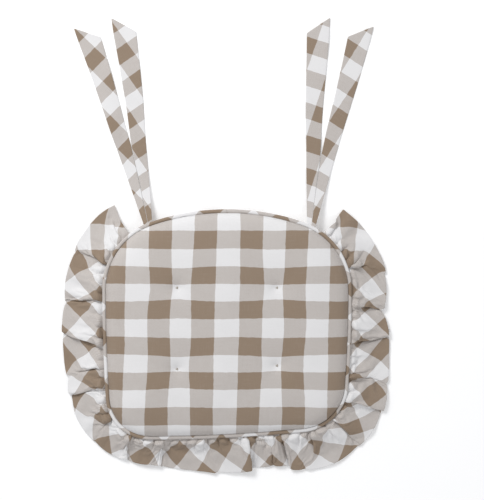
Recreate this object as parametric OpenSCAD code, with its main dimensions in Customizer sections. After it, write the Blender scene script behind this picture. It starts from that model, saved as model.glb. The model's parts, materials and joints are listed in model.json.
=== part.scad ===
// Ruffled and tufted chair seat cushion with piping and two pairs of ties.
// Origin: middle of the flat underside. +Z is up, +Y points to the chair's back, where the ties are.

/* [Pad] */
// Width over the piping, across the back corners
pad_w = 406; // [380:2:440]
// Crown height above the surface it lies on
pad_h = 46; // [38:1:56]
// Height of the seam above the surface it lies on
seam_z = 20; // [18:1:24]
// Radius of the gently bowed back edge
back_r = 382; // [340:2:420]
// Radius of the two back corners
back_corner_r = 116; // [100:2:130]
// Distance from the back corners' centres to the front corners' centres
side_len = 163; // [140:1:190]
// Radius of the slightly bowed sides
side_r = 2400; // [2000:100:4000]
// Radius of the two front corners
front_corner_r = 75; // [65:1:85]
// Radius of the slightly bowed front edge
front_r = 2500; // [2000:100:4000]

/* [Cover] */
// Thickness of the woven cotton
fabric_t = 0.8; // [0.6:0.1:1]
// Width of the seam allowance inside the pad
allowance = 12; // [10:1:14]
// Diameter of the covered piping
piping_d = 5.5; // [5:0.5:6]
// Diameter of the cotton cord inside the piping
cord_d = 3.7; // [3:0.1:3.8]

/* [Tufts] */
// Distance between the left and right tufts
tuft_dx = 162; // [140:2:180]
// Distance between the back and front tufts
tuft_dy = 129; // [110:1:150]
// How far the tufts' middle lies in front of the pad's middle
tuft_shift = 6; // [0:1:12]
// How deep a tuft pulls the top down
tuft_depth = 12; // [8:1:16]
// How deep a tuft pulls the underside up
tuft_rise = 5; // [3:1:7]

/* [Ruffle] */
// Width of the ruffle beyond the piping
ruffle_w = 68; // [56:1:72]
// Width of the ruffle beyond the piping at its two back ends
ruffle_end_w = 52; // [40:1:70]
// Thickness of the doubled cotton
ruffle_t = 1.2; // [1:0.1:1.4]
// Distance between two folds along the piping
fold_pitch = 42; // [36:1:60]
// Rise and fall of the folds at the free edge
fold_rise = 6; // [3:0.5:6]
// Angle from +X at which the ruffle starts, on each back corner
ruffle_start = 52; // [45:1:58]
// How far right of the middle the two strips meet at the front
lap_x = 36; // [0:1:60]

/* [Ties] */
// Length of a tie along its longer edge
tie_long = 332; // [280:1:360]
// Length of a tie along its shorter edge
tie_short = 305; // [260:1:335]
// Width of a tie at its free end
tie_end_w = 37.5; // [30:0.5:40]
// Width of a tie where it is sewn in
tie_root_w = 8; // [6:0.5:8]
// Thickness of a turned and pressed tie
tie_t = 1.4; // [1:0.1:1.6]
// Angle from +Y to the place on each back corner where a pair is sewn in
tie_place = 21; // [18:1:24]
// Angle from +Y by which the left pair's outer tie leans to the left
left_outer_lean = 18; // [15:0.5:20]
// Angle from +Y by which the left pair's inner tie leans to the left
left_inner_lean = 7; // [3:0.5:9]
// Angle from +Y by which the right pair's inner tie leans to the right
right_inner_lean = 1; // [0:0.5:5]
// Angle from +Y by which the right pair's outer tie leans to the right
right_outer_lean = 13.5; // [11:0.5:18]

/* [Hidden] */

TAUPE = [0.60, 0.53, 0.47];
GREY = [0.75, 0.73, 0.71];
OFF_WHITE = [0.90, 0.90, 0.91];
FIBRE = [0.97, 0.97, 0.97];

// ---- Outline: eight arcs, each tangent to the next, worked out clockwise from the back ----

function dir(a) = [cos(a), sin(a)];

back_half = asin((pad_w / 2 - back_corner_r) / (back_r - back_corner_r));
back_corner_c = (back_r - back_corner_r) * dir(90 - back_half);
side_sweep = asin(side_len / (side_r - front_corner_r));
side_c = back_corner_c - [side_r - back_corner_r, 0];
front_corner_c = side_c + (side_r - front_corner_r) * dir(-side_sweep);
front_half = asin(front_corner_c.x / (front_r - front_corner_r));
front_c = front_corner_c - (front_r - front_corner_r) * dir(front_half - 90);
pad_d = back_r - front_c.y + front_r;
// The arcs above are worked out from the back arc's centre, and this brings the pad's middle to the origin
shift = [0, pad_d / 2 - back_r];

// [centre, radius, first angle, last angle]
right_arcs = [
    [back_corner_c + shift, back_corner_r, 90 - back_half, 0],
    [side_c + shift, side_r, 0, -side_sweep],
    [front_corner_c + shift, front_corner_r, -side_sweep, front_half - 90],
];

function mirrored(arc) = [[-arc[0].x, arc[0].y], arc[1], -180 - arc[3], -180 - arc[2]];

arcs = [
    [shift, back_r, 90, 90 - back_half],
    right_arcs[0], right_arcs[1], right_arcs[2],
    [front_c + shift, front_r, front_half - 90, -front_half - 90],
    mirrored(right_arcs[2]), mirrored(right_arcs[1]), mirrored(right_arcs[0]),
    [shift, back_r, back_half - 270, -270],
];

function arc_len(arc) = arc[1] * (arc[2] - arc[3]) * PI / 180;
function len_before(i) = i == 0 ? 0 : len_before(i - 1) + arc_len(arcs[i - 1]);
arc_starts = [for (i = [0:len(arcs)]) len_before(i)];
outline_len = arc_starts[len(arcs)];

// The arc that holds the distance s along the outline
function arc_at(s, i = 0) = i == len(arcs) - 1 || s <= arc_starts[i + 1] ? i : arc_at(s, i + 1);
// A point at the distance s along the outline and the distance inset inside it
function outline_point(s, inset) =
    let(i = arc_at(s), arc = arcs[i])
    arc[0] + (arc[1] - inset) * dir(arc[2] - (s - arc_starts[i]) / arc[1] * 180 / PI);

// ---- Lofted soft forms: rings that follow the outline, each [inset, z] ----

RING_STEPS = 84;
RING_S = [for (i = [0:RING_STEPS - 1]) i * outline_len / RING_STEPS];
// Rings further in than this shrink towards the middle
EVEN_INSET = 30;
EVEN_HALF = pad_w / 2 - EVEN_INSET;

function ring(inset, z) =
    let(even = min(inset, EVEN_INSET), shrink = (EVEN_HALF - (inset - even)) / EVEN_HALF)
    [for (s = RING_S) let(p = outline_point(s, even)) [p.x * shrink, p.y * shrink, z]];

// profile: [inset, z] from the underside's middle, round the edge, to the top's middle
module loft(profile) {
    rings = [for (p = profile) each ring(p[0], p[1])];
    n = RING_STEPS;
    last = len(profile) - 1;
    sides = [
        for (k = [0:last - 1], i = [0:n - 1])
            let(a = k * n + i, b = k * n + (i + 1) % n)
            each [[a, b, b + n], [a, b + n, a + n]]
    ];
    underside = [for (i = [n - 1:-1:0]) i];
    top = [for (i = [0:n - 1]) last * n + i];
    polyhedron(points = rings, faces = concat([underside], sides, [top]));
}

// ---- Seam: the layers that are sewn together, from the bottom up ----

LAYER_GAP = 0.1;
bottom_seam_z = seam_z - 2;
heading_z = bottom_seam_z + fabric_t + LAYER_GAP;
flange_z = heading_z + ruffle_t + LAYER_GAP;
top_seam_z = flange_z + fabric_t + LAYER_GAP;
piping_r = piping_d / 2;
piping_z = flange_z + fabric_t / 2;
cover_inset = piping_d + 0.3;
// The ruffle turns down between the piping and the bottom cover
bottom_inset = cover_inset + 1.9;
allowance_inset = cover_inset + allowance;

// The top cover's outside, [inset, z], and how much of the crown is reached at each ring
CROWN = [[0.3, 0.10], [2.5, 0.26], [7, 0.44], [15, 0.60], [28, 0.74], [50, 0.86], [85, 0.95], [130, 1]];
crown_h = pad_h - top_seam_z;
function crown(grow) = [
    for (c = CROWN) [cover_inset + c[0] - grow, top_seam_z + crown_h * c[1] + grow]
];
// The bottom cover's outside, from the flat underside up to the seam
function belly(grow) = [
    [bottom_inset + 13 - grow, -grow],
    [bottom_inset + 5.5 - grow, 3.5 - grow / 2],
    [bottom_inset + 1 - grow, 10],
];

// ---- Tufts ----

DIMPLE_R = 42;
tufts = [for (y = [1, -1], x = [-1, 1]) [x * tuft_dx / 2, y * tuft_dy / 2 - tuft_shift]];
tuft_top = pad_h - tuft_depth;
THREAD_R = 1;
THREAD_HOLE_R = 1.3;

// The hollows that the tufts pull into the top and the underside; a larger grow makes them deeper
module dimples(grow) {
    for (t = tufts) {
        translate([t.x, t.y, tuft_top + DIMPLE_R]) sphere(r = DIMPLE_R + grow, $fn = 64);
        translate([t.x, t.y, tuft_rise - DIMPLE_R]) sphere(r = DIMPLE_R + grow, $fn = 64);
    }
}

module thread_holes() {
    for (t = tufts) translate([t.x, t.y, -1]) cylinder(r = THREAD_HOLE_R, h = pad_h + 2, $fn = 24);
}

// ---- Covers and filling ----

module top_cover() {
    inside = top_seam_z + fabric_t;
    color(TAUPE) difference() {
        loft(concat([[cover_inset, top_seam_z]], crown(0)));
        difference() {
            loft(concat([[cover_inset + fabric_t, inside]], crown(-fabric_t)));
            dimples(fabric_t);
        }
        dimples(0);
        thread_holes();
        translate([0, 0, top_seam_z - 1]) linear_extrude(fabric_t + 1.5) allowance_opening();
    }
}

module bottom_cover() {
    color(TAUPE) difference() {
        loft(concat(belly(0), [[bottom_inset, bottom_seam_z + fabric_t]]));
        difference() {
            loft(concat(belly(-fabric_t), [[bottom_inset + fabric_t, bottom_seam_z]]));
            dimples(fabric_t);
        }
        dimples(0);
        thread_holes();
        translate([0, 0, bottom_seam_z - 0.5]) linear_extrude(fabric_t + 1.5) allowance_opening();
    }
}

// The inner edge of the seam allowances
module allowance_opening() {
    polygon([for (s = RING_S) outline_point(s, allowance_inset)]);
}

module fibre_fill() {
    clear = fabric_t + 0.3;
    groove = allowance_inset + 0.5;
    low_edge = bottom_inset + clear + 0.2;
    edge = cover_inset + clear + 0.2;
    color(FIBRE) difference() {
        loft(concat(
            belly(-clear),
            [[low_edge, bottom_seam_z - 0.4], [groove, bottom_seam_z - 0.3]],
            [[groove, top_seam_z + clear], [edge, top_seam_z + clear + 0.1]],
            crown(-clear)
        ));
        dimples(clear);
        thread_holes();
    }
}

// ---- Piping: a strip wrapped round a cord, its two edges caught in the seam ----

ROPE_SIDES = 10;
WRAP_STEPS = 12;
SLIT = 0.1;
// Inside radius of the wrapped strip
tunnel_r = piping_r - fabric_t;

// section: [inset, z] points, anticlockwise as seen with the pad's middle on the left
module sweep_round(section) {
    m = len(section);
    points = [for (s = RING_S, p = section) concat(outline_point(s, p[0]), p[1])];
    faces = [
        for (i = [0:RING_STEPS - 1], j = [0:m - 1])
            let(a = i * m + j, b = i * m + (j + 1) % m)
            let(c = ((i + 1) % RING_STEPS) * m + (j + 1) % m, d = ((i + 1) % RING_STEPS) * m + j)
            each [[a, b, c], [a, c, d]]
    ];
    polyhedron(points = points, faces = faces);
}

// Points round the piping's middle at radius r, from the flange's lower side round to its upper side
function wrap(r) =
    let(open = asin((fabric_t / 2 + SLIT) / r))
    [
        for (i = [0:WRAP_STEPS])
            let(a = -open - (360 - 2 * open) * i / WRAP_STEPS)
            [piping_r + r * cos(a), piping_z + r * sin(a)]
    ];

module piping_cover() {
    lower = piping_z - fabric_t / 2;
    tunnel = wrap(tunnel_r);
    color(GREY) sweep_round(concat(
        [[allowance_inset, lower]], wrap(piping_r), [[allowance_inset, lower + fabric_t]],
        [[allowance_inset, piping_z + SLIT / 2]], [for (i = [WRAP_STEPS:-1:0]) tunnel[i]],
        [[allowance_inset, piping_z - SLIT / 2]]
    ));
}

module piping_cord() {
    color(OFF_WHITE) sweep_round([
        for (i = [0:ROPE_SIDES - 1])
            let(a = -360 * i / ROPE_SIDES)
            [piping_r + cord_d / 2 * cos(a), piping_z + cord_d / 2 * sin(a)]
    ]);
}

// ---- Ruffle: a doubled strip, gathered into the seam and folded up and down towards its free edge ----

STATIONS_PER_FOLD = 6;
heading_mid = heading_z + ruffle_t / 2;
free_edge_z = fold_rise + ruffle_t / 2 + 0.3;
ruffle_root_z = seam_z - 3.4;
// Share of the ruffle's width at each ring outside the piping
SPREAD = [0.06, 0.25, 0.5, 0.76, 1];
END_TAPER = 60;
ruffle_s = arc_starts[1] + back_corner_r * (90 - back_half - ruffle_start) * PI / 180;
lap_s = outline_len / 2 - lap_x;
LAP_GAP = 0.6;

function width_at(s) =
    let(from_end = min(s - ruffle_s, outline_len - ruffle_s - s))
    ruffle_end_w + (ruffle_w - ruffle_end_w) * min(1, from_end / END_TAPER);
function fold_z(s, share) =
    ruffle_root_z + (free_edge_z - ruffle_root_z) * pow(share, 0.8)
    + fold_rise * share * sin(360 * (s - lap_s) / fold_pitch);
// The middle of the cloth at s, from inside the seam out to the free edge
function ruffle_section(s) = concat(
    [[allowance_inset, heading_mid], [bottom_inset - 0.1, heading_mid]],
    [[piping_r + 2.3, heading_mid - 1.9], [piping_r, heading_mid - 2.5]],
    [for (share = SPREAD) [-share * width_at(s), fold_z(s, share)]]
);

module ruffle(s0, s1) {
    steps = ceil((s1 - s0) / fold_pitch * STATIONS_PER_FOLD);
    m = len(SPREAD) + 4;
    ring_n = 2 * m;
    points = [
        for (i = [0:steps])
            let(s = s0 + (s1 - s0) * i / steps, section = ruffle_section(s))
            each concat(
                [for (p = section) concat(outline_point(s, p[0]), p[1] + ruffle_t / 2)],
                [for (j = [m - 1:-1:0]) concat(outline_point(s, section[j][0]), section[j][1] - ruffle_t / 2)]
            )
    ];
    skin = [
        for (i = [0:steps - 1], j = [0:ring_n - 1])
            let(a = i * ring_n + j, b = i * ring_n + (j + 1) % ring_n)
            each [[a, b, b + ring_n], [a, b + ring_n, a + ring_n]]
    ];
    first_end = [
        for (j = [0:m - 2]) let(k = ring_n - 1 - j) each [[j, k, k - 1], [j, k - 1, j + 1]]
    ];
    last_end = [
        for (f = first_end) [f[2] + steps * ring_n, f[1] + steps * ring_n, f[0] + steps * ring_n]
    ];
    polyhedron(points = points, faces = concat(skin, first_end, last_end));
}

module ruffle_right() {
    color(GREY) ruffle(ruffle_s, lap_s - LAP_GAP / 2);
}

module ruffle_left() {
    color(GREY) ruffle(lap_s + LAP_GAP / 2, outline_len - ruffle_s);
}

// ---- Tuft stitches: a thread through the pad with a bar tack at each end ----

TACK_L = 6;
TACK_R = 1.2;

module bar_tack() {
    translate([-TACK_L / 2, 0, 0]) rotate([0, 90, 0]) cylinder(r = TACK_R, h = TACK_L, $fn = 24);
    for (x = [-1, 1]) translate([x * TACK_L / 2, 0, 0]) sphere(r = TACK_R, $fn = 24);
}

module tuft_stitch(t) {
    lift = TACK_R + 0.3;
    low = tuft_rise - lift;
    high = tuft_top + lift;
    color(OFF_WHITE) translate([t.x, t.y, 0]) {
        translate([0, 0, low]) cylinder(r = THREAD_R, h = high - low, $fn = 24);
        translate([0, 0, low]) bar_tack();
        translate([0, 0, high]) bar_tack();
    }
}

module tuft_stitch_back_left() { tuft_stitch(tufts[0]); }
module tuft_stitch_back_right() { tuft_stitch(tufts[1]); }
module tuft_stitch_front_left() { tuft_stitch(tufts[2]); }
module tuft_stitch_front_right() { tuft_stitch(tufts[3]); }

// ---- Ties: each swings about a line along the seam, just outside the piping ----

TIE_OUT = 2.2;
TIE_GAP = 0.4;
tie_z = piping_z - 1.2;
// Each tie slopes from the seam down to the surface that the pad lies on
function tie_slope(reach) = asin((tie_z - tie_t / 2 - 0.3) / reach);
tie_corner = right_arcs[0];
tie_base = tie_corner[0] + (tie_corner[1] + TIE_OUT) * dir(90 - tie_place);

// A tie of the right pair, in a frame whose X runs along the seam to the right and Y away from the pad.
// turn: its lean from Y; side: -1 for the inner tie, 1 for the outer one
module tie_shape(turn, side) {
    half_root = tie_root_w / 2;
    half_end = tie_end_w / 2;
    root_x = side * (tie_root_w + TIE_GAP) / 2;
    along = [sin(turn), cos(turn)];
    across = [cos(turn), -sin(turn)];
    root = [root_x, 0];
    outer_tip = root + tie_long * along + half_end * across;
    inner_tip = root + tie_short * along - half_end * across;
    rotate([-tie_slope(max(outer_tip.y, inner_tip.y)), 0, 0]) {
        translate([0, 0, -tie_t / 2]) linear_extrude(tie_t)
            polygon([root - [half_root, 0], inner_tip, outer_tip, root + [half_root, 0]]);
        translate([root_x - half_root, 0, 0]) rotate([0, 90, 0])
            cylinder(r = tie_t / 2, h = tie_root_w, $fn = 24);
    }
}

module right_tie(lean, side) {
    translate([tie_base.x, tie_base.y, tie_z]) rotate([0, 0, -tie_place])
        tie_shape(lean - tie_place, side);
}

module left_tie(lean, side) {
    mirror([1, 0, 0]) right_tie(lean, side);
}

module tie_left_outer() { color(GREY) left_tie(left_outer_lean, 1); }
module tie_left_inner() { color(OFF_WHITE) left_tie(left_inner_lean, -1); }
module tie_right_inner() { color(OFF_WHITE) right_tie(right_inner_lean, -1); }
module tie_right_outer() { color(GREY) right_tie(right_outer_lean, 1); }

top_cover();
bottom_cover();
fibre_fill();
piping_cover();
piping_cord();
ruffle_left();
ruffle_right();
tuft_stitch_back_left();
tuft_stitch_back_right();
tuft_stitch_front_left();
tuft_stitch_front_right();
tie_left_outer();
tie_left_inner();
tie_right_inner();
tie_right_outer();
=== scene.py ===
"""A ruffled, tufted chair seat cushion in checked cotton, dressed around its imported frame.

Lengths are metres unless a name says otherwise. The pad lies on its flat underside, with its back, where the
ties are, towards +Y.
"""

import json
import logging
import math
from dataclasses import dataclass, field
from enum import Enum
from typing import Callable

import bmesh
import bpy
import numpy as np
from mathutils import Matrix, Vector

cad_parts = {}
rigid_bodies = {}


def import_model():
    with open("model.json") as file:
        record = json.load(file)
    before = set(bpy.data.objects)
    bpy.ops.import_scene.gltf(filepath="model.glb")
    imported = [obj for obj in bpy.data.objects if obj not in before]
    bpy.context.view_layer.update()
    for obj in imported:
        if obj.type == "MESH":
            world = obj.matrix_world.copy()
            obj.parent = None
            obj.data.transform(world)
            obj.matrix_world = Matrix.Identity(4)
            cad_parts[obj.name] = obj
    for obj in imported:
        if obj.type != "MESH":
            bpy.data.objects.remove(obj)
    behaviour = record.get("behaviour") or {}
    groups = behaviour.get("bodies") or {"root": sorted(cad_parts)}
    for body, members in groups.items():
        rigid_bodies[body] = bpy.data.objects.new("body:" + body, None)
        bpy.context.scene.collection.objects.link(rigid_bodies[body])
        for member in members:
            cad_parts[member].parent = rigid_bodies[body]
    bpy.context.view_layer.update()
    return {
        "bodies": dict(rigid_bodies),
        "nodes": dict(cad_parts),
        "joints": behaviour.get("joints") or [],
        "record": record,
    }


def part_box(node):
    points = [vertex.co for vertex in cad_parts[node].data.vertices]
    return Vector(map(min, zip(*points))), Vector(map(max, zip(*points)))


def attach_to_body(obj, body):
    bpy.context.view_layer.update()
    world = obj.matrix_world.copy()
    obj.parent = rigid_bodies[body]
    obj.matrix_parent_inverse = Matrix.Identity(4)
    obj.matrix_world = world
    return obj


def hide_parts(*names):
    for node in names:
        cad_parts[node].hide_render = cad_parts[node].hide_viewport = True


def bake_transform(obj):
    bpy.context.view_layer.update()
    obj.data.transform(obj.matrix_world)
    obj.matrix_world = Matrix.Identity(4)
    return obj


MM = 0.001
Array = np.ndarray
Place = Callable[[Array, Array], Array]
log = logging.getLogger("seat_cushion")


# ---------------------------------------------------------------- helpers


def linear(hex_colour: str) -> tuple[float, float, float, float]:
    """Turn an sRGB hex colour into a linear one.

    Args:
        hex_colour: six hex digits.

    Returns:
        Linear red, green, blue and an alpha of 1.
    """
    parts = [int(hex_colour[i : i + 2], 16) / 255 for i in (0, 2, 4)]
    r, g, b = (c / 12.92 if c <= 0.04045 else ((c + 0.055) / 1.055) ** 2.4 for c in parts)
    return (r, g, b, 1.0)


def ease(x: Array, low: float, high: float) -> Array:
    """A smooth step of x, from 0 at low to 1 at high."""
    t = np.clip((x - low) / (high - low), 0, 1)
    return t * t * (3 - 2 * t)


def ripple(x: Array, y: Array, size: float, seed: int, waves: int = 9) -> Array:
    """A smooth uneven surface made of seeded sine waves.

    Args:
        x: first coordinates.
        y: second coordinates.
        size: the usual distance between two swells.
        seed: which surface.
        waves: how many sine waves are added.

    Returns:
        Heights of about -1 to 1.
    """
    rng = np.random.default_rng(seed)
    total = np.zeros_like(x)
    for _ in range(waves):
        turn, phase = rng.uniform(0, 2 * math.pi, 2)
        pace = 2 * math.pi / (size * rng.uniform(0.6, 1.7))
        total += np.sin(pace * (x * math.cos(turn) + y * math.sin(turn)) + phase)
    return total / math.sqrt(waves * 2)


def cloth_grid(
    name: str, across: int, along: int, place: Place, cloth: Place, closed: bool = False
) -> bpy.types.Object:
    """Make a woven piece from a grid, with its flat cloth coordinates as a UV map in metres.

    Args:
        name: the piece's name.
        across: cells across the cloth.
        along: cells along the cloth.
        place: gives points in space for the grid's own coordinates, both 0 to 1.
        cloth: gives flat cloth coordinates for them.
        closed: whether edges that meet are sewn together.

    Returns:
        The new object.
    """
    bm = bmesh.new()
    bmesh.ops.create_grid(bm, x_segments=across, y_segments=along, size=0.5)
    bm.verts.index_update()
    own = np.array([v.co[:2] for v in bm.verts]) + 0.5
    points, flat = place(own[:, 0], own[:, 1]), cloth(own[:, 0], own[:, 1])
    layer = bm.loops.layers.uv.new("cloth")
    for face in bm.faces:
        for loop in face.loops:
            loop[layer].uv = flat[loop.vert.index]
    for vert, point in zip(bm.verts, points):
        vert.co = point
    if closed:
        bmesh.ops.remove_doubles(bm, verts=bm.verts, dist=1e-6)
        bmesh.ops.recalc_face_normals(bm, faces=bm.faces)
    return finish_mesh(name, bm)


def finish_mesh(name: str, bm: bmesh.types.BMesh) -> bpy.types.Object:
    """Turn a bmesh into a smooth-shaded object at the origin."""
    mesh = bpy.data.meshes.new(name)
    bm.to_mesh(mesh)
    bm.free()
    mesh.shade_smooth()
    obj = bpy.data.objects.new(name, mesh)
    bpy.context.scene.collection.objects.link(obj)
    return obj


def thicken(obj: bpy.types.Object, thickness: float, rounds: int = 1, offset: float = 0.0) -> None:
    """Give a cloth piece its thickness and a rounder surface.

    Args:
        obj: the piece.
        thickness: of the cloth.
        rounds: subdivision levels, 0 for none.
        offset: -1 keeps the outside where it is, 0 keeps the middle.
    """
    if thickness:
        wall = obj.modifiers.new("Cloth thickness", "SOLIDIFY")
        wall.thickness, wall.offset, wall.use_even_offset = thickness, offset, False
    if rounds:
        rounder = obj.modifiers.new("Rounding", "SUBSURF")
        rounder.levels = rounder.render_levels = rounds


def settle(obj: bpy.types.Object, flat: Array, hold: Array, bending: float = 0.02, frames: int = 20) -> None:
    """Let a piece of cloth settle onto the seat under its own weight, and keep the result.

    Args:
        obj: the piece, near its final shape.
        flat: the piece's points in the flat cloth, which give its threads their lengths.
        hold: how firmly each point is held where it is, 1 where it is sewn.
        bending: how stiff the cloth is.
        frames: how long it settles.
    """
    scene = bpy.context.scene
    group = obj.vertex_groups.new(name="held")
    for weight in np.unique(hold):
        group.add(np.flatnonzero(hold == weight).tolist(), float(weight), "REPLACE")
    obj.shape_key_add(name="Gathered", from_mix=False)
    rest = obj.shape_key_add(name="Flat", from_mix=False)
    rest.data.foreach_set("co", np.column_stack([flat, flat[:, 0] * 0]).ravel())
    cloth = obj.modifiers.new("Settling", "CLOTH")
    own, touch = cloth.settings, cloth.collision_settings
    # The points are light, in kilograms each, so that threads this short don't stretch
    own.quality, own.mass, own.air_damping = 10, 0.0004, 1.5
    own.tension_stiffness = own.compression_stiffness = 15
    own.shear_stiffness, own.bending_stiffness = 3, bending
    own.vertex_group_mass, own.rest_shape_key = group.name, rest
    touch.use_self_collision, touch.collision_quality = True, 3
    touch.distance_min = touch.self_distance_min = 1.0 * MM
    bm = bmesh.new()
    bmesh.ops.create_grid(bm, x_segments=1, y_segments=1, size=1)
    seat = finish_mesh("seat", bm)
    seat.modifiers.new("Seat", "COLLISION")
    seat.collision.thickness_outer = 1.0 * MM
    cloth.point_cache.frame_start, cloth.point_cache.frame_end = 1, frames
    for frame in range(1, frames + 1):
        scene.frame_set(frame)
    points = np.empty(len(obj.data.vertices) * 3)
    obj.evaluated_get(bpy.context.evaluated_depsgraph_get()).data.vertices.foreach_get("co", points)
    obj.modifiers.remove(cloth)
    obj.shape_key_clear()
    obj.vertex_groups.remove(group)
    obj.data.vertices.foreach_set("co", points)
    obj.data.update()
    bpy.data.objects.remove(seat)
    scene.frame_set(1)


def attach(
    obj: bpy.types.Object, material: bpy.types.Material, node: str, body: str | None = "cushion"
) -> None:
    """Dress a piece, hide the sub-part it stands for, and parent it to the body it moves with, if any."""
    obj.data.materials.append(material)
    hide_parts(node)
    if body:
        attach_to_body(obj, body)
    log.info("%s: %d vertices", obj.name, len(obj.data.vertices))


# ---------------------------------------------------------------- finishes


def add(tree: bpy.types.NodeTree, kind: str, links: dict | None = None, **settings: object) -> bpy.types.Node:
    """Add a shader node.

    Args:
        tree: the material's node tree.
        kind: the node's type, without its ShaderNode prefix.
        links: input name or number to the output socket that feeds it, or to a constant.
        settings: the node's own properties.

    Returns:
        The node.
    """
    node = tree.nodes.new("ShaderNode" + kind)
    for key, value in settings.items():
        setattr(node, key, value)
    for key, source in (links or {}).items():
        if isinstance(source, bpy.types.NodeSocket):
            tree.links.new(source, node.inputs[key])
        else:
            node.inputs[key].default_value = source
    return node


def new_material(
    name: str, roughness: float, sheen: float, colour: str
) -> tuple[bpy.types.Material, bpy.types.Node]:
    """A material with one Principled shader, and that shader."""
    material = bpy.data.materials.new(name)
    material.use_nodes = True
    shader = material.node_tree.nodes["Principled BSDF"]
    shader.inputs["Base Color"].default_value = linear(colour)
    shader.inputs["Roughness"].default_value = roughness
    shader.inputs["Sheen Weight"].default_value = sheen
    shader.inputs["Sheen Roughness"].default_value = 0.5
    shader.inputs["Specular IOR Level"].default_value = 0.25
    return material, shader


class Grain(Enum):
    """How a piece is cut from the cloth: the turn of its threads, in degrees."""

    STRAIGHT = 0.0
    BIAS = 45.0
    OTHER_BIAS = -45.0


@dataclass(frozen=True)
class Gingham:
    """Yarn-dyed cotton in plain weave: taupe and white stripes cross, so mixed squares come out between the two."""

    name: str
    turn: float = Grain.STRAIGHT.value
    shift: tuple[float, float] = (0.0, 0.0)
    stripe_u: float = 37.0 * MM
    stripe_v: float = 28.8 * MM
    # A real thread is about 0.4 mm; it is drawn at 1.1 mm, so that the weave shows at this distance
    thread: float = 1.1 * MM
    taupe: str = "948270"
    white: str = "e8e7e7"
    lift: float = 0.35 * MM

    def material(self) -> bpy.types.Material:
        """Build the material from the piece's own cloth coordinates."""
        material, shader = new_material(self.name, 0.9, 0.15, self.taupe)
        tree = material.node_tree
        uv = add(tree, "UVMap", uv_map="cloth").outputs["UV"]
        turned = add(
            tree, "Mapping", {"Vector": uv, "Rotation": (0, 0, math.radians(self.turn)), "Location": (*self.shift, 0)}
        ).outputs["Vector"]
        # Threads never lie quite straight, so the stripes' edges wander by a fraction of a millimetre
        wander = add(tree, "TexNoise", {"Vector": turned, "Scale": 90.0, "Detail": 2.0}, noise_dimensions="2D")
        centred = add(tree, "VectorMath", {0: wander.outputs["Color"], 1: (0.5, 0.5, 0.5)}, operation="SUBTRACT")
        small = add(tree, "VectorMath", {0: centred.outputs[0], "Scale": 1.6 * MM}, operation="SCALE")
        wavy = add(tree, "VectorMath", {0: turned, 1: small.outputs[0]}, operation="ADD").outputs[0]
        parts = add(tree, "SeparateXYZ", {0: wavy})
        stripes = [
            self._stripe(tree, parts.outputs[i], width) for i, width in enumerate((self.stripe_u, self.stripe_v))
        ]
        over = self._weave(tree, parts)
        # Which of the two threads lies on top decides the colour, softened because real threads are finer
        ranges = {"From Min": -0.9, "From Max": 0.9, "To Min": 0.28, "To Max": 0.72}
        on_top = add(tree, "MapRange", {"Value": over, **ranges})
        mix = add(tree, "Mix", {0: on_top.outputs[0], 2: stripes[0], 3: stripes[1]}, data_type="FLOAT")
        slub = self._slubs(tree, turned)
        uneven = add(tree, "Math", {0: slub, 1: 0.5}, operation="SUBTRACT").outputs[0]
        amount = add(tree, "Math", {0: uneven, 1: 0.14, 2: mix.outputs[0]}, operation="MULTIPLY_ADD")
        colour = add(
            tree,
            "Mix",
            {0: amount.outputs[0], 6: linear(self.white), 7: linear(self.taupe)},
            data_type="RGBA",
            clamp_factor=True,
        )
        tree.links.new(colour.outputs[2], shader.inputs["Base Color"])
        height = add(tree, "Math", {0: over, 1: 0.5, 2: slub}, operation="MULTIPLY_ADD")
        bump = add(tree, "Bump", {"Strength": 0.35, "Distance": self.lift, "Height": height.outputs[0]})
        tree.links.new(bump.outputs[0], shader.inputs["Normal"])
        rough = add(tree, "MapRange", {"Value": slub, "To Min": 0.82, "To Max": 0.96})
        tree.links.new(rough.outputs[0], shader.inputs["Roughness"])
        return material

    def _stripe(self, tree: bpy.types.NodeTree, across: bpy.types.NodeSocket, width: float) -> bpy.types.NodeSocket:
        """1 on the dyed stripes and 0 between them, with edges as soft as a thread is wide."""
        paces = add(tree, "Math", {0: across, 1: 1 / width}, operation="MULTIPLY").outputs[0]
        saw = add(tree, "Math", {0: paces, 1: 1.0}, operation="PINGPONG").outputs[0]
        soft = 0.4 * MM / width
        ends = {"From Min": 0.5 - soft, "From Max": 0.5 + soft}
        step = add(tree, "MapRange", {"Value": saw, **ends}, interpolation_type="SMOOTHSTEP")
        return step.outputs[0]

    def _weave(self, tree: bpy.types.NodeTree, parts: bpy.types.Node) -> bpy.types.NodeSocket:
        """Above 0 where the thread along V is on top, below 0 where the thread along U is."""
        waves = []
        for i in (0, 1):
            pace = add(tree, "Math", {0: parts.outputs[i], 1: math.pi / self.thread}, operation="MULTIPLY")
            waves.append(add(tree, "Math", {0: pace.outputs[0]}, operation="SINE").outputs[0])
        return add(tree, "Math", {0: waves[0], 1: waves[1]}, operation="MULTIPLY").outputs[0]

    def _slubs(self, tree: bpy.types.NodeTree, flat: bpy.types.NodeSocket) -> bpy.types.NodeSocket:
        """Thicker and thinner stretches of thread, along both directions of the cloth."""
        streaks = []
        # Noise cells 1.4 mm across a thread and 22 mm along it
        for scale in ((700, 45, 1), (45, 700, 1)):
            stretched = add(tree, "Mapping", {"Vector": flat, "Scale": scale}).outputs[0]
            settings = {"Vector": stretched, "Scale": 1.0, "Detail": 1.0}
            streaks.append(add(tree, "TexNoise", settings, noise_dimensions="2D"))
        both = add(tree, "Math", {0: streaks[0].outputs[0], 1: streaks[1].outputs[0]}, operation="ADD")
        return add(tree, "Math", {0: both.outputs[0], 1: 0.5}, operation="MULTIPLY").outputs[0]


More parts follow.
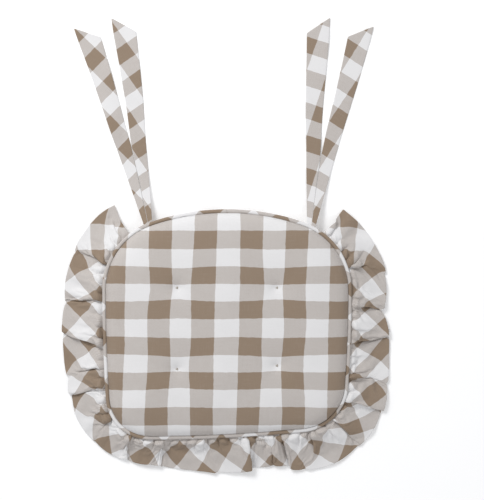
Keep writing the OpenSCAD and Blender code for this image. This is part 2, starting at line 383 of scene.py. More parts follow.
@dataclass(frozen=True)
class Wadding:
    """Carded polyester fibre: white, matte and cloudy, with fine curled fibres and painted shade in the hollows
    between them.
    """

    name: str = "Carded polyester wadding"
    colour: str = "f1f1ef"
    shade: str = "dcdcda"

    def material(self) -> bpy.types.Material:
        """Build the material from object coordinates."""
        material, shader = new_material(self.name, 0.95, 0.3, self.colour)
        tree = material.node_tree
        at = add(tree, "TexCoord").outputs["Object"]
        fibres = add(tree, "TexNoise", {"Vector": at, "Scale": 380.0, "Detail": 5.0, "Distortion": 2.5})
        # The darker shade colour follows the noise that also makes the bump, so it falls in the bump's hollows:
        # partly the wadding's cloudy tone, partly painted shade.
        shades = {6: linear(self.shade), 7: linear(self.colour)}
        colour = add(tree, "Mix", {0: fibres.outputs[0], **shades}, data_type="RGBA")
        tree.links.new(colour.outputs[2], shader.inputs["Base Color"])
        bump = add(tree, "Bump", {"Strength": 0.6, "Distance": 0.8 * MM, "Height": fibres.outputs[0]})
        tree.links.new(bump.outputs[0], shader.inputs["Normal"])
        return material


@dataclass(frozen=True)
class Twist:
    """Twisted yarn, such as sewing thread or filler cord: fine fibres run round it at a slant, and the grooves
    between them are painted darker as shade.
    """

    name: str
    colour: str
    shade: str
    pitch: float
    sheen: float = 0.1

    def material(self) -> bpy.types.Material:
        """Build the material from the piece's own cloth coordinates, round it and along it."""
        material, shader = new_material(self.name, 0.75, self.sheen, self.colour)
        tree = material.node_tree
        uv = add(tree, "UVMap", uv_map="cloth").outputs["UV"]
        slanted = add(tree, "Mapping", {"Vector": uv, "Rotation": (0, 0, math.radians(35))})
        # A wave texture's own period at a scale of 1 is 0.314 m
        wave = {"Scale": 0.314 / self.pitch, "Distortion": 1.5, "Detail": 2.0}
        ply = add(tree, "TexWave", {"Vector": slanted.outputs[0], **wave})
        # The darker shade colour falls where the wave is low, in the grooves that the bump sinks: painted shade
        # between the plies.
        shades = {6: linear(self.shade), 7: linear(self.colour)}
        colour = add(tree, "Mix", {0: ply.outputs[1], **shades}, data_type="RGBA")
        tree.links.new(colour.outputs[2], shader.inputs["Base Color"])
        bump = add(tree, "Bump", {"Strength": 0.5, "Distance": 0.2 * MM, "Height": ply.outputs[1]})
        tree.links.new(bump.outputs[0], shader.inputs["Normal"])
        return material


# ---------------------------------------------------------------- the pad's outline


@dataclass
class Outline:
    """The pad's outline over its piping: eight arcs, each tangent to the next, clockwise from the back."""

    back_r: float = 382 * MM
    back_corner_r: float = 116 * MM
    side_len: float = 163 * MM
    side_r: float = 2400 * MM
    front_corner_r: float = 75 * MM
    front_r: float = 2500 * MM
    # The front edge runs a little aslant, as the pad was sewn
    front_skew: float = 0.05
    centres: Array = field(init=False)
    radii: Array = field(init=False)
    angles: Array = field(init=False)
    starts: Array = field(init=False)

    def __post_init__(self) -> None:
        """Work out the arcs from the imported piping's width."""
        half_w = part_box("piping_cover")[1][0]
        back = math.asin((half_w - self.back_corner_r) / (self.back_r - self.back_corner_r))
        corner = (self.back_r - self.back_corner_r) * np.array([math.sin(back), math.cos(back)])
        sweep = math.asin(self.side_len / (self.side_r - self.front_corner_r))
        side = corner - [self.side_r - self.back_corner_r, 0]
        reach = self.side_r - self.front_corner_r
        front_corner = side + reach * np.array([math.cos(sweep), -math.sin(sweep)])
        front = math.asin(front_corner[0] / (self.front_r - self.front_corner_r))
        front_c = np.array([0, front_corner[1] + (self.front_r - self.front_corner_r) * math.cos(front)])
        middle = (self.back_r + front_c[1] - self.front_r) / 2
        right = [(corner, self.back_corner_r), (side, self.side_r), (front_corner, self.front_corner_r)]
        quarter = math.pi / 2
        right_angles = [quarter - back, 0, -sweep, front - quarter]
        arcs = [(np.zeros(2), self.back_r), *right, (front_c, self.front_r)]
        arcs += [(c * [-1, 1], r) for c, r in reversed(right)] + [(np.zeros(2), self.back_r)]
        self.centres = np.array([c for c, _ in arcs]) - [0, middle]
        self.radii = np.array([r for _, r in arcs])
        left_angles = [-2 * quarter - a for a in reversed(right_angles)]
        self.angles = np.array([quarter, *right_angles, *left_angles, -3 * quarter])
        self.starts = np.concatenate([[0], np.cumsum(self.radii * -np.diff(self.angles))])

    @property
    def length(self) -> float:
        """The length of the outline."""
        return float(self.starts[-1])

    def locate(self, s: Array) -> tuple[Array, Array]:
        """The arc that holds each distance s, and the outward angle there."""
        s = np.asarray(s, float)
        arc = np.clip(np.searchsorted(self.starts, s, side="right") - 1, 0, len(self.radii) - 1)
        return arc, self.angles[arc] - (s - self.starts[arc]) / self.radii[arc]

    def point(self, s: Array, inset: Array) -> Array:
        """Points at the distance s along the outline and the distance inset inside it."""
        arc, angle = self.locate(s)
        out = np.stack([np.cos(angle), np.sin(angle)], -1)
        return self.centres[arc] + (self.radii[arc] - inset)[..., None] * out

    def depth(self, xy: Array, inset: float) -> Array:
        """How far each point lies inside the line that is inset from the outline."""
        line = self.point(np.linspace(0, self.length, 720, endpoint=False), np.full(720, inset))
        gaps = [np.linalg.norm(xy[i : i + 2000, None] - line[None], axis=2).min(1) for i in range(0, len(xy), 2000)]
        return np.concatenate(gaps)

    def as_sewn(self, points: Array) -> Array:
        """Slant the front of the pad a little."""
        out = points.copy()
        out[:, 1] += self.front_skew * points[:, 0] * (1 - ease(points[:, 1], -0.15, 0.06))
        return out


# ---------------------------------------------------------------- covers, filling and tufts


@dataclass
class Pad:
    """The two covers, the filling and the tufts that hold them together."""

    outline: Outline
    cloth_t: float = 0.8 * MM
    seam_inset: float = 5.0 * MM
    under_inset: float = 7.2 * MM
    column_lean: float = 0.0227
    tuft_sink: float = 12.5 * MM
    # A tuft pulls its cloth up from below by a little, and pulls it in across a wider ring
    under_sink: float = 5 * MM
    draw_in: float = 4.2 * MM
    draw_reach: float = 23 * MM
    cells: int = 96
    tufts: Array = field(init=False)
    seam_z: float = field(init=False)
    under_seam_z: float = field(init=False)
    crown: float = field(init=False)

    def __post_init__(self) -> None:
        """Take the seam, the crown and the tufts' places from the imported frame."""
        self.seam_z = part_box("top_cover")[0][2]
        self.under_seam_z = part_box("bottom_cover")[1][2]
        self.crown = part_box("top_cover")[1][2] - self.seam_z
        boxes = [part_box(n) for n in self.stitch_nodes()]
        self.tufts = np.array([[(lo[0] + hi[0]) / 2, (lo[1] + hi[1]) / 2] for lo, hi in boxes])

    @staticmethod
    def stitch_nodes() -> list[str]:
        """The names of the four tuft stitches."""
        return [f"tuft_stitch_{y}_{x}" for y in ("back", "front") for x in ("left", "right")]

    def spread(self, a: Array, b: Array, inset: float) -> Array:
        """Map the square grid to the pad's outline, shrunk evenly towards its middle."""
        p = np.stack([a, b], -1) * 2 - 1
        share = np.abs(p).max(1)
        turn = np.arctan2(p[:, 0], p[:, 1])
        # The outline's length is shared out so that the grid's corners meet the pad's corners
        line_s = np.linspace(0, self.outline.length, 1440)
        line = self.outline.point(line_s, np.full(1440, inset))
        line_turn = np.unwrap(np.arctan2(line[:, 0], line[:, 1]))
        squared = np.where(share > 0, turn, 0) % (2 * math.pi)
        s = np.interp(squared, line_turn - line_turn[0], line_s)
        return self.outline.point(s, np.full(len(s), inset)) * share[:, None]

    def rise(self, deep: Array) -> Array:
        """Share of the crown that is reached at each depth inside the seam."""
        return 1 - 0.42 * np.exp(-deep / (5 * MM)) - 0.58 * np.exp(-deep / (38 * MM))

    def pull(self, xy: Array, reach: float) -> Array:
        """How strongly the tufts pull at each point, 1 at a tuft."""
        gaps = np.linalg.norm(xy[:, None] - self.tufts[None], axis=2)
        return np.exp(-gaps / reach).sum(1)

    def dip(self, xy: Array) -> Array:
        """How far the tufts sink the top: a sharp dimple in a wide hollow."""
        return self.tuft_sink * (0.45 * self.pull(xy, 9 * MM) + 0.55 * self.pull(xy, 26 * MM))

    def flat_cloth(self, xy: Array) -> Array:
        """Cloth coordinates of a panel: straight threads that lean a little and draw in towards the tufts."""
        flat = self.outline.as_sewn(np.column_stack([xy, xy[:, 0] * 0]))[:, :2]
        for tuft in self.tufts:
            away = xy - tuft
            gap = np.linalg.norm(away, axis=1)[:, None]
            flat += away * self.draw_in / self.draw_reach * np.exp(1 - gap / self.draw_reach)
        wave = 1.0 * MM * ripple(xy[:, 0], xy[:, 1], 0.12, 5)
        column = flat[:, 0] - self.column_lean * (flat[:, 1] - 20 * MM) + wave
        return np.stack([column, flat[:, 1] + 0.6 * wave], -1)

    def top_cloth(self, a: Array, b: Array) -> Array:
        """Cloth coordinates of the top cover."""
        return self.flat_cloth(self.spread(a, b, self.seam_inset))

    def under_cloth(self, a: Array, b: Array) -> Array:
        """Cloth coordinates of the bottom cover."""
        return self.flat_cloth(self.spread(a, b, self.under_inset))

    def top(self, a: Array, b: Array) -> Array:
        """The top cover's surface before its cloth is puffed."""
        xy = self.spread(a, b, self.seam_inset)
        deep = self.outline.depth(xy, self.seam_inset)
        z = self.seam_z + self.crown * self.rise(deep)
        z -= self.dip(xy) * ease(deep, 0, 0.03)
        z += 0.7 * MM * ripple(xy[:, 0], xy[:, 1], 0.07, 3) * ease(deep, 0.005, 0.03)
        return self.outline.as_sewn(np.column_stack([xy, z]))

    def under(self, a: Array, b: Array) -> Array:
        """The bottom cover's surface, flat where it lies on the seat."""
        xy = self.spread(a, b, self.under_inset)
        deep = self.outline.depth(xy, self.under_inset)
        share = np.clip(deep / (15 * MM), 0, 1)
        z = self.under_seam_z * (1 - share) ** 2
        z = np.maximum(z, self.cloth_t / 2)
        z += self.under_sink * self.pull(xy, 8 * MM)
        return self.outline.as_sewn(np.column_stack([xy, z]))

    def build(self) -> None:
        """Make and dress the covers, the filling and the tufts."""
        gingham = Gingham("Yarn-dyed gingham cotton, straight grain", shift=(-0.2 * MM, 6.6 * MM)).material()
        top = cloth_grid("top_cover_panel", self.cells, self.cells, self.top, self.top_cloth)
        thicken(top, self.cloth_t, 1, -1)
        attach(top, gingham, "top_cover")
        under = cloth_grid("bottom_cover_panel", self.cells, self.cells, self.under, self.under_cloth)
        bm = bmesh.new()
        bm.from_mesh(under.data)
        bmesh.ops.reverse_faces(bm, faces=bm.faces)
        bm.to_mesh(under.data)
        bm.free()
        thicken(under, self.cloth_t / 2, 1, -1)
        attach(under, gingham, "bottom_cover")
        self.build_fill()
        self.build_stitches()

    def build_fill(self) -> None:
        """The fibre pad between the covers, clear of the seam's layers."""
        # The filling stays this far below the cover, and its edge this far inside the piping
        gap, groove = 2.6 * MM, 19 * MM

        def skin(a: Array, b: Array) -> Array:
            """Fold a grid round the filling: its inner half is the top and its outer half the underside."""
            p = np.stack([a, b], -1) * 2 - 1
            share = np.abs(p).max(1)
            upper = share <= 0.5
            ring = np.where(upper, share * 2, (1 - share) * 2)
            unit = p / np.maximum(share, 1e-9)[:, None] * ring[:, None]
            xy = self.spread((unit[:, 0] + 1) / 2, (unit[:, 1] + 1) / 2, groove)
            deep = self.outline.depth(xy, groove)
            lumps = 0.5 * MM * ripple(xy[:, 0], xy[:, 1], 0.03, 8)
            crown = self.crown * self.rise(deep + groove - self.seam_inset)
            high = self.seam_z + crown - self.dip(xy) - gap + lumps
            low = 2 * MM + self.under_sink * self.pull(xy, 8 * MM) + lumps
            middle = (self.seam_z + self.under_seam_z) / 2
            edge = np.sqrt(np.clip(deep / (9 * MM), 0, 1))
            z = middle + (np.where(upper, high, low) - middle) * edge
            return self.outline.as_sewn(np.column_stack([xy, z]))

        fill = cloth_grid("fibre_pad", 120, 120, skin, lambda a, b: np.stack([a, b], -1), closed=True)
        attach(fill, Wadding().material(), "fibre_fill")

    def build_stitches(self) -> None:
        """Four tufts: a doubled thread through the pad, with a few stitches over its ends."""
        thread_r, knot_r, arch_r = 0.45 * MM, 0.6 * MM, 2.2 * MM
        thread = Twist("Twisted polyester thread", "dad5cf", "b3aba1", 0.8 * MM, 0.25).material()
        for node, tuft in zip(self.stitch_nodes(), self.tufts):
            lo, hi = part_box(node)
            bm = bmesh.new()
            bm.loops.layers.uv.new("cloth")
            centre = self.outline.as_sewn(np.array([[tuft[0], tuft[1], 0.0]]))[0]
            for side in (-1, 1):
                depth = hi[2] - lo[2] - 4 * MM
                made = bmesh.ops.create_cone(
                    bm, segments=10, radius1=thread_r, radius2=thread_r, depth=depth, calc_uvs=True
                )["verts"]
                middle = (centre[0] + side * 0.5 * MM, centre[1], (lo[2] + hi[2]) / 2)
                bmesh.ops.translate(bm, verts=made, vec=middle)
            for end in (-1, 1):
                for k, turn in enumerate((-0.5, 0.1, 0.6)):
                    ring = bmesh.ops.create_circle(bm, segments=10, radius=knot_r)["verts"]
                    bmesh.ops.translate(bm, verts=ring, vec=(arch_r, 0, 0))
                    edges = list(dict.fromkeys(e for v in ring for e in v.link_edges))
                    half_turn = -math.pi * end
                    bmesh.ops.spin(
                        bm, geom=ring + edges, cent=(0, 0, 0), axis=(0, 1, 0), angle=half_turn, steps=14
                    )
                    # What is still near the origin is the new arch
                    arch = [v for v in bm.verts if max(abs(c) for c in v.co) < 4 * MM]
                    bmesh.ops.rotate(bm, verts=arch, cent=(0, 0, 0), matrix=Matrix.Rotation(turn, 3, "Z"))
                    z = (hi[2] - arch_r) if end > 0 else (lo[2] + arch_r)
                    spot = (centre[0], centre[1] + (k - 1) * 0.8 * MM, z - 0.6 * MM * end)
                    bmesh.ops.translate(bm, verts=arch, vec=spot)
            bmesh.ops.remove_doubles(bm, verts=bm.verts, dist=1e-7)
            bmesh.ops.recalc_face_normals(bm, faces=bm.faces)
            obj = finish_mesh(node.replace("tuft_stitch", "tuft_thread"), bm)
            attach(obj, thread, node)


# ---------------------------------------------------------------- piping


@dataclass
class Piping:
    """A bias strip wrapped round a filler cord, its edges caught in the seam."""

    outline: Outline
    cord_r: float = 1.85 * MM
    lay_pitch: float = 11 * MM
    allowance: float = 12 * MM
    # Half of the gap, in radians, through which the strip's two edges leave the cord
    open_angle: float = 0.16

    def build(self) -> None:
        """Make and dress the piping's cover and its cord."""
        lo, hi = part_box("piping_cover")
        r, z = (hi[2] - lo[2]) / 2, (hi[2] + lo[2]) / 2
        length, allowance = self.outline.length, self.allowance
        wrap = (2 * math.pi - 2 * self.open_angle) * r
        width = wrap + 2 * allowance

        def cover(a: Array, b: Array) -> Array:
            """The strip: in along the flange, round the cord and out again."""
            at = a * width
            angle = -self.open_angle - np.clip(at - allowance, 0, wrap) / r
            inward = np.maximum(allowance - at, 0) + np.maximum(at - allowance - wrap, 0)
            s = b * length
            swell = 1 + 0.035 * ripple(s, s * 0, 0.03, 11)
            x = r + r * swell * np.cos(angle) + inward
            return self.outline.as_sewn(np.column_stack([self.outline.point(s, x), z + r * swell * np.sin(angle)]))

        def strip_cloth(a: Array, b: Array) -> Array:
            """Cloth coordinates across and along the strip."""
            return np.stack([a * width, b * length], -1)

        strip = cloth_grid("piping_strip", 34, 720, cover, strip_cloth, closed=True)
        thicken(strip, 0.5 * MM, 1, 1)
        bias = Gingham("Yarn-dyed gingham cotton, bias strip", Grain.BIAS.value, thread=0.9 * MM, lift=0.2 * MM)
        attach(strip, bias.material(), "piping_cover")

        def cord(a: Array, b: Array) -> Array:
            """Three plies laid round each other."""
            s, angle = b * length, -a * 2 * math.pi
            lobes = np.abs(np.cos(1.5 * (angle + 2 * math.pi * s / self.lay_pitch)))
            reach = self.cord_r * (0.8 + 0.2 * lobes)
            x = r + reach * np.cos(angle)
            return self.outline.as_sewn(np.column_stack([self.outline.point(s, x), z + reach * np.sin(angle)]))

        def cord_cloth(a: Array, b: Array) -> Array:
            """Coordinates round and along the cord."""
            return np.stack([a * 2 * math.pi * self.cord_r, b * length], -1)

        filler = cloth_grid("piping_filler_cord", 18, 1080, cord, cord_cloth, closed=True)
        yarn = Twist("Twisted cotton cord", "e9e5d8", "c9c3b2", 1.2 * MM)
        attach(filler, yarn.material(), "piping_cord")


# ---------------------------------------------------------------- ruffle


@dataclass
class Ruffle:
    """One doubled strip, gathered into the seam in uneven pleats that flop over, then settled onto the seat."""

    outline: Outline
    node: str
    start_s: float
    end_s: float
    # The pleats' shares of the seam, in order
    spans: tuple[float, ...]
    # Which way the pleats fall: 1 clockwise from above, -1 the other way
    flop: int
    grain: Grain
    # How far the back end swings open beyond a square cut
    swing: float
    seed: int
    heading: float = 12 * MM
    cloth_t: float = 1.0 * MM
    root_z: float = 17.0 * MM
    # Cloth beyond what the pleats need, which buckles into small gathers
    fullness: float = 1.08
    # The path over a fold or down to the seat is longer than its plan by this much
    slack: float = 1.06
    # How far the free edge lies from the piping, at places all round the pad, both in millimetres
    reach_at: tuple[float, ...] = (
        *(160, 200, 230, 300, 325, 365, 425, 500, 545, 585, 640, 695),
        *(745, 815, 850, 880, 905, 985, 1030, 1077, 1120, 1165, 1195),
    )
    reach_is: tuple[float, ...] = (
        *(54, 56, 60, 57, 63, 66, 68, 68, 64, 57, 57, 61),
        *(54, 46, 45, 48, 57, 69, 69, 64, 61, 59, 55),
    )
    edges: Array = field(init=False)
    cloth_edges: Array = field(init=False)
    slant: Array = field(init=False)
    bow: Array = field(init=False)
    high: Array = field(init=False)

    def __post_init__(self) -> None:
        """Share the strip out into its pleats: what the wider free edge needs, or a little more."""
        rng = np.random.default_rng(self.seed)
        spans = np.array(self.spans) * MM
        spans *= (self.end_s - self.start_s) / spans.sum()
        self.edges = self.start_s + np.concatenate([[0], np.cumsum(spans)])
        angle = self.outline.locate(self.edges)[1]
        widened = self.reach((self.edges[1:] + self.edges[:-1]) / 2) * (angle[:-1] - angle[1:])
        self.high = rng.uniform(6.5, 11.0, len(spans)) * MM
        hidden = rng.uniform(2.0, 12.0, len(spans)) * MM
        # The end under or over the lap is plain
        hidden[-1 if self.flop > 0 else 0] = 0
        own = self.fullness * np.maximum(spans + 2 * hidden, spans + widened) + 0.75 * self.high
        self.cloth_edges = np.concatenate([[0], np.cumsum(own)])
        # The creases between pleats run aslant and a little curved, except at the strip's ends
        self.slant = rng.uniform(-0.3, 0.3, len(spans) + 1)
        self.bow = rng.uniform(-2.6, 2.6, len(spans) + 1)
        self.slant[[0, -1]] = self.bow[[0, -1]] = 0

    @property
    def cloth_len(self) -> float:
        """The strip's length before it was gathered."""
        return float(self.cloth_edges[-1])

    def reach(self, s: Array) -> Array:
        """How far the free edge lies from the piping at each distance s."""
        return np.interp(s / MM, self.reach_at, self.reach_is) * MM

    def fold_of(self, b: Array) -> tuple[Array, Array, Array]:
        """The pleat that holds each share b of the strip, the place within its cloth, and the seam there."""
        cloth = b * self.cloth_len
        fold = np.clip(np.searchsorted(self.cloth_edges, cloth, side="right") - 1, 0, len(self.high) - 1)
        share = (cloth - self.cloth_edges[fold]) / (self.cloth_edges[fold + 1] - self.cloth_edges[fold])
        return fold, share, self.edges[fold] + (self.edges[fold + 1] - self.edges[fold]) * share

    def pleat(self, share: Array, span: Array, hidden: Array, high: Array) -> tuple[Array, Array]:
        """The cross-section of a pleat: up a long slope, over its edge, back underneath and on again.

        Args:
            share: how far along the pleat's cloth, 0 to 1.
            span: the pleat's own width.
            hidden: how far its cloth runs back underneath.
            high: how far its edge stands above the next pleat.

        Returns:
            Distance along and height.
        """
        legs = np.stack([span + hidden / 2, high * 0.45, hidden, high * 0.3, hidden / 2])
        ends = np.concatenate([np.zeros((1, len(span))), np.cumsum(legs, 0)])
        total = ends[-1]
        xs = np.stack([span * 0, span + hidden / 2, span + hidden / 2, span - hidden / 2, span - hidden / 2, span])
        zs = np.stack([span * 0, high, high * 0.55, high * 0.3, high * 0, high * 0])
        along, up, soft = 0.0, 0.0, 4.2 * MM
        for tap, weight in ((-1, 1), (-0.5, 2), (0, 3), (0.5, 2), (1, 1)):
            at = share * total + tap * soft
            turn = np.floor(at / total)
            at = at - turn * total
            x, z = turn * span, np.zeros_like(at)
            for i in range(5):
                part = np.clip((at - ends[i]) / legs[i], 0, 1)
                x = x + (xs[i + 1] - xs[i]) * part
                z = z + (zs[i + 1] - zs[i]) * (np.sin(math.pi / 2 * part) if i == 0 else part)
            along, up = along + x * weight / 9, up + z * weight / 9
        return along, up

    def place(self, a: Array, b: Array) -> Array:
        """Points of the strip's middle: a runs from inside the seam to the free edge, b along the strip."""
        fold, share, even_s = self.fold_of(b)
        w = a * (self.heading + self.reach(even_s)) - self.heading
        out = np.clip(w, 0, None)
        first = self.edges[fold] + self.slant[fold] * out + self.bow[fold] * out**2
        last = self.edges[fold + 1] + self.slant[fold + 1] * out + self.bow[fold + 1] * out**2
        turn = self.outline.locate(self.edges[fold])[1] - self.outline.locate(self.edges[fold + 1])[1]
        span = last - first + out * turn
        own = self.cloth_edges[fold + 1] - self.cloth_edges[fold]
        high = self.high[fold] * (1 - 0.55 * ease(out, 0.012, 0.065))
        hidden = np.maximum((own / self.fullness - span - 0.75 * high) / 2, 0.5 * MM)
        high = high * (0.25 + 0.75 * ease(hidden, 0.0, 6 * MM))
        forward = share if self.flop > 0 else 1 - share
        along, up = self.pleat(forward, span, hidden, high)
        back = (b if self.flop > 0 else 1 - b) * self.cloth_len
        front = self.cloth_len - back
        free = (0.3 + 0.7 * ease(back, 0.03, 0.09)) * (0.05 + 0.95 * ease(front, 0.03, 0.08) if self.flop > 0 else 1)
        loose = ease(w, -0.009, -0.001)
        part = forward + (along / span - forward) * loose
        s = first + (last - first) * part if self.flop > 0 else last - (last - first) * part
        s = s - self.flop * self.swing * out * np.exp(-back / 0.05)
        lowest = self.cloth_t / 2 + 0.4 * MM
        valley = lowest + (self.root_z - lowest) * (1 - ease(out, 0.0, 0.046))
        # Gathers where the strip is sewn in: round rolls with narrower valleys between them, fading outwards
        cloth = b * self.cloth_len
        phase = 2 * math.pi * cloth / (18 * MM) + 1.1 * np.sin(cloth / (23 * MM) + self.seed)
        fade = (22 + 9 * np.sin(cloth / (15 * MM) + 2 * self.seed)) * MM
        roll = (3.6 + 0.9 * np.sin(cloth / (29 * MM))) * MM * np.exp(-((out / fade) ** 2))
        roll *= ease(w, -0.003, 0.006)
        s = s + 0.85 * roll * np.sin(phase)
        sag = 2.1 * MM * (1 + ripple(cloth, w * 0.35, 0.034, self.seed + 20)) * ease(out, 0.01, 0.04)
        z = valley + up * free * ease(out, -0.001, 0.009) + roll * np.cos(phase) + sag
        # Where the strips lap, the left one lies on the right one
        lap = 1 - ease(front, 0.02, 0.06)
        z += (4.2 if self.flop < 0 else -0.6) * MM * lap * ease(out, 0.0, 0.02)
        z = np.maximum(z, lowest)
        z = np.where(w < 4 * MM, z + (19.4 * MM - z) * (1 - ease(w, -7 * MM, 1 * MM)), z)
        notch = 3.0 * MM * (np.clip(along / span, 0, 1) - 0.5) * ease(out, 0.03, 0.068) * free
        ragged = 1.2 * MM * ripple(s, s * 0, 0.05, self.seed + 40) * ease(out, 0.03, 0.069)
        return self.outline.as_sewn(np.column_stack([self.outline.point(s, -(w + notch + ragged)), z]))

    def cloth(self, a: Array, b: Array) -> Array:
        """Flat cloth coordinates, measured from the strip's back end."""
        even_s = self.fold_of(b)[2]
        across = a * (self.heading + self.reach(even_s) * self.slack) - self.heading
        return np.stack([across, b * self.cloth_len - (self.cloth_len if self.flop < 0 else 0)], -1)

    @staticmethod
    def flat_points(strip: bpy.types.Object) -> Array:
        """Each point's flat cloth coordinates, from the piece's own UV map."""
        loops = len(strip.data.loops)
        uv, corner = np.empty(loops * 2), np.empty(loops, int)
        strip.data.uv_layers["cloth"].data.foreach_get("uv", uv)
        strip.data.loops.foreach_get("vertex_index", corner)
        flat = np.zeros((len(strip.data.vertices), 2))
        flat[corner] = uv.reshape(-1, 2)
        return flat

    def build(self) -> None:
        """Make and dress the strip."""
        rows, cols = 28, int(self.cloth_len / (2.7 * MM))
        strip = cloth_grid(self.node + "_strip", rows, cols, self.place, self.cloth)
        flat = self.flat_points(strip)
        across = flat[:, 0]
        # Sewn in at the seam, free in the middle and lightly held at the free edge
        hold = np.where(across < 0.5 * MM, 1.0, np.round(0.34 * ease(across, 0.02, 0.062), 2))
        settle(strip, flat, hold)
        thicken(strip, self.cloth_t, 1)
        shift = (9.0 * MM, 36.8 * MM if self.flop < 0 else -18.0 * MM)
        gingham = Gingham(f"Yarn-dyed gingham cotton, {self.node} cut on the bias", self.grain.value, shift)
        attach(strip, gingham.material(), self.node)
        widths = self.heading + self.reach(self.fold_of(np.linspace(0, 1, 200))[2]) * self.slack
        flat = (float(widths.max()), self.cloth_len)


# ---------------------------------------------------------------- ties


@dataclass
class Tie:
    """A tapered, turned and pressed strip that lies behind the pad, from where it is sewn in."""

    node: str
    body: str
    root: Array
    pair_root: Array
    # The tie's lean, its pair's own lean and the turn of its threads, in degrees
    lean: float
    pair_lean: float
    turn: float
    stripes: tuple[float, float]
    shift: tuple[float, float]
    # How far along the seam it is sewn from its hinge
    slide: tuple[float, float]
    seed: int
    long_edge: float = 340 * MM
    short_edge: float = 313 * MM
    end_w: float = 37.5 * MM
    root_w: float = 15 * MM
    sewn_in: float = 12 * MM
    cloth_t: float = 1.1 * MM
    # How far from the seam it comes to lie on the seat, and how much of it bends at the hinge
    lands_at: float = 110 * MM
    bend_len: float = 18 * MM

    @property
    def outward(self) -> int:
        """1 for a tie on the right, -1 for one on the left."""
        return 1 if self.root[0] > 0 else -1

    def shape(self, a: Array, b: Array) -> tuple[Array, Array]:
        """Distance across and along the tie: a runs from its inner edge to its outer one, b from the sewn end."""
        far = b * (self.short_edge + (self.long_edge - self.short_edge) * a + self.sewn_in) - self.sewn_in
        half = (self.root_w + (self.end_w - self.root_w) * np.clip(far / self.short_edge, 0, 1)) / 2
        # The two ties of a pair leave the seam side by side, each on its own side of a line between them
        open_by = math.radians(self.lean - self.pair_lean) * self.outward
        limit = -np.clip(far, 0, None) * math.tan(open_by) + math.copysign(0.3 * MM, open_by)
        low = np.maximum(-half, limit) if open_by > 0 else -half
        high = half if open_by > 0 else np.minimum(half, limit)
        return low + (high - low) * a, far

    def place(self, a: Array, b: Array) -> Array:
        """Points of the tie's middle."""
        side, far = self.shape(a, b)
        turn = math.radians(self.lean)
        along = np.array([math.sin(turn), math.cos(turn)])
        across = np.array([math.cos(turn), -math.sin(turn)]) * self.outward
        base = self.pair_root[:2] + self.slide
        bow = 1.6 * MM * np.sin(far * 14 + self.seed) * ease(far, 0.12, 0.2)
        xy = base + far[:, None] * along + (side + bow)[:, None] * across
        floor = self.cloth_t / 2 + 0.7 * MM
        fall = np.clip(1 - np.clip(far, 0, None) / self.lands_at, 0, 1) ** 2
        wave = np.clip(ripple(xy[:, 0], xy[:, 1], 0.09, self.seed), -0.2, 1)
        z = floor + (self.root[2] - floor) * fall + 1.8 * MM * wave * ease(far, 0.06, 0.12)
        return np.column_stack([xy, z])

    def cloth(self, a: Array, b: Array) -> Array:
        """Flat cloth coordinates, with U to the right and V along the tie."""
        side, far = self.shape(a, b)
        return np.stack([side * self.outward, far], -1)

    def build(self) -> None:
        """Make and dress the tie."""
        tie = cloth_grid(self.node + "_strip", 12, 150, self.place, self.cloth)
        thicken(tie, self.cloth_t, 1)
        gingham = Gingham(f"Yarn-dyed gingham cotton, {self.node}", self.turn, self.shift, *self.stripes)
        attach(tie, gingham.material(), self.node, None)
        start = self.root + [*self.slide, 0]
        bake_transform(tie)


# ---------------------------------------------------------------- studio


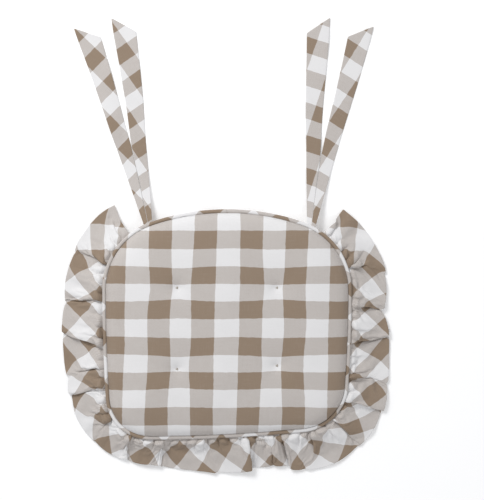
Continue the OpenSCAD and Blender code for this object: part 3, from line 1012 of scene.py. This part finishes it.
@dataclass
class Studio:
    """A pale floor, soft light from the back left and a camera straight above."""

    view_height: float = 0.815
    seam_z: float = 20 * MM
    lens_mm: float = 120.0
    aim: tuple[float, float] = (24.5 * MM, 119.8 * MM)

    def build(self) -> None:
        """Make the floor, the lights and the camera."""
        scene = bpy.context.scene
        scene.view_settings.view_transform = "Standard"
        bm = bmesh.new()
        bmesh.ops.create_grid(bm, x_segments=1, y_segments=1, size=6)
        floor = finish_mesh("floor", bm)
        paint, shader = new_material("Matte studio paint", 0.9, 0.0, "fafafa")
        shader.inputs["Emission Color"].default_value = linear("ffffff")
        shader.inputs["Emission Strength"].default_value = 0.16
        floor.data.materials.append(paint)
        world = bpy.data.worlds.new("Studio")
        world.use_nodes = True
        world.node_tree.nodes["Background"].inputs[0].default_value = linear("fbfcff")
        world.node_tree.nodes["Background"].inputs[1].default_value = 0.5
        scene.world = world
        for name, spot, size, watts in (
            ("key", (-1.2, 1.6, 1.9), 1.0, 42.0),
            ("fill", (1.6, -1.2, 2.2), 2.2, 12.0),
        ):
            lamp = bpy.data.lights.new(name, "AREA")
            lamp.shape, lamp.size, lamp.energy = "SQUARE", size, watts
            obj = bpy.data.objects.new(name, lamp)
            obj.location = spot
            obj.rotation_euler = (-Vector(spot)).to_track_quat("-Z", "Y").to_euler()
            scene.collection.objects.link(obj)
        cam = bpy.data.cameras.new("camera")
        cam.lens, cam.sensor_width, cam.sensor_fit = self.lens_mm, 36.0, "AUTO"
        view = bpy.data.objects.new("camera", cam)
        view.location = (*self.aim, self.seam_z + self.view_height * self.lens_mm / 36.0)
        scene.collection.objects.link(view)
        scene.camera = view


def main() -> None:
    """Build every piece in order."""
    logging.basicConfig(level=logging.INFO, format="%(name)s %(message)s")
    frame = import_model()
    outline = Outline()
    Pad(outline).build()
    Piping(outline).build()
    lap_s = outline.length / 2 - 36 * MM
    ruffle_s = outline.starts[1] + outline.back_corner_r * (outline.angles[1] - math.radians(52))
    spans = (64, 68, 66, 58, 40, 34, 36, 52, 24, 44)
    Ruffle(outline, "ruffle_right", ruffle_s, lap_s + 10 * MM, spans, 1, Grain.BIAS, 0.0, 4).build()
    spans = (78, 68, 56, 46, 44, 36, 36, 70, 62, 60)
    end_s = outline.length - ruffle_s
    Ruffle(outline, "ruffle_left", lap_s - 1 * MM, end_s, spans, -1, Grain.OTHER_BIAS, 0.12, 7).build()
    hinges = {joint["name"]: np.array(joint["pos_m"]) for joint in frame["joints"]}
    # Lean, the pair's own lean, the turn of the threads, the stripes' widths and their shift, and a seed
    ties = {
        "left_outer": (-18.0, -12.5, -27.5, (30.5 * MM, 24 * MM), (26 * MM, 12 * MM), 1),
        "left_inner": (-7.0, -12.5, -27.5, (30.5 * MM, 24 * MM), (30 * MM, 13 * MM), 2),
        "right_inner": (1.9, 8.2, 16.0, (33 * MM, 25.6 * MM), (1.7 * MM, 4 * MM), 3),
        "right_outer": (14.3, 8.2, 18.0, (28 * MM, 26 * MM), (22.9 * MM, 10 * MM), 4),
    }
    for side, (lean, pair, turn, stripes, shift, seed) in ties.items():
        # The right pair is sewn in a little further along the seam than the left one
        slide = (8.4 * MM, -3.2 * MM) if lean > 0 else (0.0, 0.0)
        root = hinges[f"{side}_tie_swing"]
        pair_root = np.mean([at for at in hinges.values() if at[0] * root[0] > 0], axis=0)
        Tie(f"tie_{side}", f"{side}_tie", root, pair_root, lean, pair, turn, stripes, shift, slide, seed).build()
    Studio().build()


if __name__ == "__main__":
    main()
